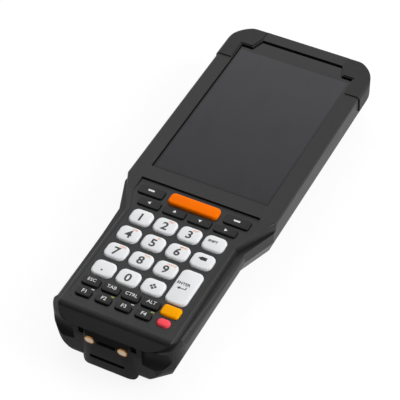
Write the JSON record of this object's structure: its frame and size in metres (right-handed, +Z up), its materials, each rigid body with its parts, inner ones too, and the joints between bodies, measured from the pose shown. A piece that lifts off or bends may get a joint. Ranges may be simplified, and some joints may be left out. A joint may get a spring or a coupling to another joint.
{
  "type": "portable barcode data terminal",
  "caption": "Rugged handheld barcode data terminal: touch display over a full keypad in a waisted two-part case with corner guards, dock contacts and a latched battery cover.",
  "frame": {"origin": "centre of the footprint, on the surface that the back lies on", "axes": "+X across the terminal to its right seen from the front, +Y along it to the scanning end, +Z up out of the display"},
  "size_m": [0.0742, 0.1994, 0.0262],
  "materials": {
    "front_plastic": "fine spark-eroded charcoal",
    "rear_plastic": "fine spark-eroded charcoal",
    "guard_rubber": "satin moulded",
    "panel_plastic": "satin, slightly blue",
    "cover_glass": "chemically strengthened, dark",
    "seal_foam": "foam",
    "display_stack": "switched off",
    "chassis_metal": "die-cast magnesium",
    "mat_silicone": "translucent grey",
    "circuit_board": "solder mask",
    "shield_metal": "tinned",
    "scan_glass": "red filter",
    "lens_glass": "coated",
    "module_plastic": "moulded",
    "contact_gold": "gold plated",
    "connector_metal": "plated",
    "battery_wrap": "shrink film",
    "latch_plastic": "satin",
    "screw_steel": "black oxide",
    "key_white_silicone": "satin coated",
    "key_black_silicone": "satin coated",
    "key_orange_silicone": "satin coated",
    "key_amber_silicone": "satin coated",
    "key_red_silicone": "satin coated"
  },
  "bodies": {
    "housing": {"front_cover": "front_plastic", "rear_cover": "rear_plastic", "corner_guard_left": "guard_rubber", "corner_guard_right": "guard_rubber", "keypad_panel": "panel_plastic", "display_glass": "cover_glass", "glass_seal": "seal_foam", "display_panel": "display_stack", "display_chassis": "chassis_metal", "keypad_mat": "mat_silicone", "keypad_board": "circuit_board", "main_board": "circuit_board", "shield_cans": "shield_metal", "housing_seal": "seal_foam", "scan_window": "scan_glass", "scan_engine": "module_plastic", "camera_window": "lens_glass", "camera_module": "module_plastic", "speaker": "module_plastic", "vibration_motor": "shield_metal", "dock_board": "circuit_board", "dock_contacts": "contact_gold", "io_connector": "connector_metal", "battery_pack": "battery_wrap", "battery_contacts": "contact_gold", "housing_screws": "screw_steel"},
    "battery_cover": {"battery_cover": "rear_plastic"},
    "battery_latch": {"battery_latch": "latch_plastic"},
    "key_soft_left": {"key_soft_left": "key_black_silicone"},
    "key_soft_right": {"key_soft_right": "key_black_silicone"},
    "key_scan": {"key_scan": "key_orange_silicone"},
    "key_left": {"key_left": "key_black_silicone"},
    "key_up": {"key_up": "key_black_silicone"},
    "key_down": {"key_down": "key_black_silicone"},
    "key_right": {"key_right": "key_black_silicone"},
    "key_1": {"key_1": "key_white_silicone"},
    "key_2": {"key_2": "key_white_silicone"},
    "key_3": {"key_3": "key_white_silicone"},
    "key_shift": {"key_shift": "key_white_silicone"},
    "key_4": {"key_4": "key_white_silicone"},
    "key_5": {"key_5": "key_white_silicone"},
    "key_6": {"key_6": "key_white_silicone"},
    "key_backspace": {"key_backspace": "key_white_silicone"},
    "key_7": {"key_7": "key_white_silicone"},
    "key_8": {"key_8": "key_white_silicone"},
    "key_9": {"key_9": "key_white_silicone"},
    "key_point": {"key_point": "key_white_silicone"},
    "key_0": {"key_0": "key_white_silicone"},
    "key_menu": {"key_menu": "key_white_silicone"},
    "key_enter": {"key_enter": "key_white_silicone"},
    "key_escape": {"key_escape": "key_black_silicone"},
    "key_tab": {"key_tab": "key_black_silicone"},
    "key_control": {"key_control": "key_black_silicone"},
    "key_alt": {"key_alt": "key_black_silicone"},
    "key_amber": {"key_amber": "key_amber_silicone"},
    "key_f1": {"key_f1": "key_black_silicone"},
    "key_f2": {"key_f2": "key_black_silicone"},
    "key_f3": {"key_f3": "key_black_silicone"},
    "key_f4": {"key_f4": "key_black_silicone"},
    "key_power": {"key_power": "key_red_silicone"}
  },
  "joints": [
    {"name": "battery_cover_hinge", "type": "hinge", "parent": "housing", "child": "battery_cover", "pos_m": [0, -0.00515, 0.0014], "axis": [1, 0, 0], "range_deg": [0, 75]},
    {"name": "battery_latch_slide", "type": "slide", "parent": "housing", "child": "battery_latch", "axis": [0, -1, 0], "range_m": [0, 0.002], "stiffness_N_per_m": 300},
    {"name": "key_soft_left_press", "type": "slide", "parent": "housing", "child": "key_soft_left", "axis": [0, 0, -1], "range_m": [0, 0.0006], "stiffness_N_per_m": 2500},
    {"name": "key_soft_right_press", "type": "slide", "parent": "housing", "child": "key_soft_right", "axis": [0, 0, -1], "range_m": [0, 0.0006], "stiffness_N_per_m": 2500},
    {"name": "key_scan_press", "type": "slide", "parent": "housing", "child": "key_scan", "axis": [0, 0, -1], "range_m": [0, 0.0006], "stiffness_N_per_m": 3000},
    {"name": "key_left_press", "type": "slide", "parent": "housing", "child": "key_left", "axis": [0, 0, -1], "range_m": [0, 0.0006], "stiffness_N_per_m": 2500},
    {"name": "key_up_press", "type": "slide", "parent": "housing", "child": "key_up", "axis": [0, 0, -1], "range_m": [0, 0.0006], "stiffness_N_per_m": 2500},
    {"name": "key_down_press", "type": "slide", "parent": "housing", "child": "key_down", "axis": [0, 0, -1], "range_m": [0, 0.0006], "stiffness_N_per_m": 2500},
    {"name": "key_right_press", "type": "slide", "parent": "housing", "child": "key_right", "axis": [0, 0, -1], "range_m": [0, 0.0006], "stiffness_N_per_m": 2500},
    {"name": "key_1_press", "type": "slide", "parent": "housing", "child": "key_1", "axis": [0, 0, -1], "range_m": [0, 0.0006], "stiffness_N_per_m": 2500},
    {"name": "key_2_press", "type": "slide", "parent": "housing", "child": "key_2", "axis": [0, 0, -1], "range_m": [0, 0.0006], "stiffness_N_per_m": 2500},
    {"name": "key_3_press", "type": "slide", "parent": "housing", "child": "key_3", "axis": [0, 0, -1], "range_m": [0, 0.0006], "stiffness_N_per_m": 2500},
    {"name": "key_shift_press", "type": "slide", "parent": "housing", "child": "key_shift", "axis": [0, 0, -1], "range_m": [0, 0.0006], "stiffness_N_per_m": 2500},
    {"name": "key_4_press", "type": "slide", "parent": "housing", "child": "key_4", "axis": [0, 0, -1], "range_m": [0, 0.0006], "stiffness_N_per_m": 2500},
    {"name": "key_5_press", "type": "slide", "parent": "housing", "child": "key_5", "axis": [0, 0, -1], "range_m": [0, 0.0006], "stiffness_N_per_m": 2500},
    {"name": "key_6_press", "type": "slide", "parent": "housing", "child": "key_6", "axis": [0, 0, -1], "range_m": [0, 0.0006], "stiffness_N_per_m": 2500},
    {"name": "key_backspace_press", "type": "slide", "parent": "housing", "child": "key_backspace", "axis": [0, 0, -1], "range_m": [0, 0.0006], "stiffness_N_per_m": 2500},
    {"name": "key_7_press", "type": "slide", "parent": "housing", "child": "key_7", "axis": [0, 0, -1], "range_m": [0, 0.0006], "stiffness_N_per_m": 2500},
    {"name": "key_8_press", "type": "slide", "parent": "housing", "child": "key_8", "axis": [0, 0, -1], "range_m": [0, 0.0006], "stiffness_N_per_m": 2500},
    {"name": "key_9_press", "type": "slide", "parent": "housing", "child": "key_9", "axis": [0, 0, -1], "range_m": [0, 0.0006], "stiffness_N_per_m": 2500},
    {"name": "key_point_press", "type": "slide", "parent": "housing", "child": "key_point", "axis": [0, 0, -1], "range_m": [0, 0.0006], "stiffness_N_per_m": 2500},
    {"name": "key_0_press", "type": "slide", "parent": "housing", "child": "key_0", "axis": [0, 0, -1], "range_m": [0, 0.0006], "stiffness_N_per_m": 2500},
    {"name": "key_menu_press", "type": "slide", "parent": "housing", "child": "key_menu", "axis": [0, 0, -1], "range_m": [0, 0.0006], "stiffness_N_per_m": 2500},
    {"name": "key_enter_press", "type": "slide", "parent": "housing", "child": "key_enter", "axis": [0, 0, -1], "range_m": [0, 0.0006], "stiffness_N_per_m": 2500},
    {"name": "key_escape_press", "type": "slide", "parent": "housing", "child": "key_escape", "axis": [0, 0, -1], "range_m": [0, 0.0006], "stiffness_N_per_m": 2500},
    {"name": "key_tab_press", "type": "slide", "parent": "housing", "child": "key_tab", "axis": [0, 0, -1], "range_m": [0, 0.0006], "stiffness_N_per_m": 2500},
    {"name": "key_control_press", "type": "slide", "parent": "housing", "child": "key_control", "axis": [0, 0, -1], "range_m": [0, 0.0006], "stiffness_N_per_m": 2500},
    {"name": "key_alt_press", "type": "slide", "parent": "housing", "child": "key_alt", "axis": [0, 0, -1], "range_m": [0, 0.0006], "stiffness_N_per_m": 2500},
    {"name": "key_amber_press", "type": "slide", "parent": "housing", "child": "key_amber", "axis": [0, 0, -1], "range_m": [0, 0.0006], "stiffness_N_per_m": 2500},
    {"name": "key_f1_press", "type": "slide", "parent": "housing", "child": "key_f1", "axis": [0, 0, -1], "range_m": [0, 0.0006], "stiffness_N_per_m": 2500},
    {"name": "key_f2_press", "type": "slide", "parent": "housing", "child": "key_f2", "axis": [0, 0, -1], "range_m": [0, 0.0006], "stiffness_N_per_m": 2500},
    {"name": "key_f3_press", "type": "slide", "parent": "housing", "child": "key_f3", "axis": [0, 0, -1], "range_m": [0, 0.0006], "stiffness_N_per_m": 2500},
    {"name": "key_f4_press", "type": "slide", "parent": "housing", "child": "key_f4", "axis": [0, 0, -1], "range_m": [0, 0.0006], "stiffness_N_per_m": 2500},
    {"name": "key_power_press", "type": "slide", "parent": "housing", "child": "key_power", "axis": [0, 0, -1], "range_m": [0, 0.0006], "stiffness_N_per_m": 2500}
  ]
}
